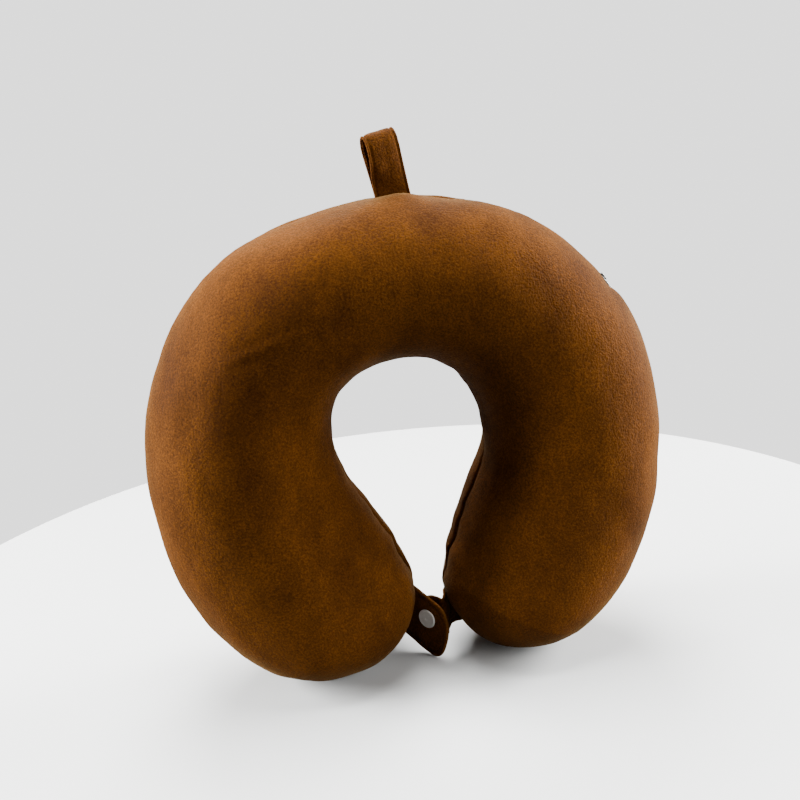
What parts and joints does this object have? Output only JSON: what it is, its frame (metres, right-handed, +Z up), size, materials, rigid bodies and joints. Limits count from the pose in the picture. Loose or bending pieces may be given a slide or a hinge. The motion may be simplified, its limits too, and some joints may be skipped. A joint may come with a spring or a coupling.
{
  "type": "u shaped neck pillow",
  "caption": "U shaped travel neck pillow in velvet, standing on its lobe ends, with snap tabs closed, a seam zipper and a hanging loop.",
  "frame": {"origin": "on the surface the pillow stands on, in the middle of its width and of its thickness", "axes": "+Z up to the hanging loop, +X across the width to the zipper's side, -Y to the front where the tabs are snapped"},
  "size_m": [0.288, 0.102, 0.3015],
  "materials": {
    "velvet": "short brown pile with a light sheen at grazing angles",
    "foam": "matte open cell memory foam",
    "webbing": "woven dark brown tape",
    "coil_nylon": "satin dark brown nylon",
    "nickel": "dark nickel plate",
    "snap_plastic": "satin pale warm grey"
  },
  "bodies": {
    "pillow": {"cover_front_panel": "velvet", "cover_back_panel": "velvet", "foam_core": "foam", "zipper_tape_front": "webbing", "zipper_tape_back": "webbing", "zipper_coil_front": "coil_nylon", "zipper_coil_back": "coil_nylon", "zipper_top_stop_front": "nickel", "zipper_top_stop_back": "nickel", "zipper_bottom_stop": "nickel"},
    "slider": {"zipper_slider_body": "nickel"},
    "pull": {"zipper_pull_tab": "nickel"},
    "loop": {"hanging_loop": "velvet"},
    "left_tab": {"left_snap_tab": "velvet", "front_snap_cap": "snap_plastic", "snap_socket": "snap_plastic"},
    "right_tab": {"right_snap_tab": "velvet", "snap_stud": "snap_plastic", "rear_snap_cap": "snap_plastic"}
  },
  "joints": [
    {"name": "slider_travel", "type": "hinge", "parent": "pillow", "child": "slider", "pos_m": [-0.00955, 0, 0.12307], "axis": [0, 1, 0], "range_deg": [0, 67]},
    {"name": "pull_swing", "type": "hinge", "parent": "slider", "child": "pull", "pos_m": [0.11953, 0, 0.21013], "axis": [0, -1, 0], "range_deg": [0, 165]},
    {"name": "loop_fold", "type": "hinge", "parent": "pillow", "child": "loop", "pos_m": [0.0075, 0, 0.2695], "axis": [1, 0, 0], "range_deg": [-60, 60], "stiffness_Nm_per_rad": 0.003},
    {"name": "left_tab_swing", "type": "hinge", "parent": "pillow", "child": "left_tab", "pos_m": [-0.00509, 0, 0.0291], "axis": [-0.2825, 0.2926, -0.9135], "range_deg": [0, 30], "stiffness_Nm_per_rad": 0.002},
    {"name": "right_tab_swing", "type": "hinge", "parent": "pillow", "child": "right_tab", "pos_m": [0.01581, 0, 0.02614], "axis": [0.342, 0, -0.9397], "range_deg": [0, 70], "stiffness_Nm_per_rad": 0.002}
  ]
}
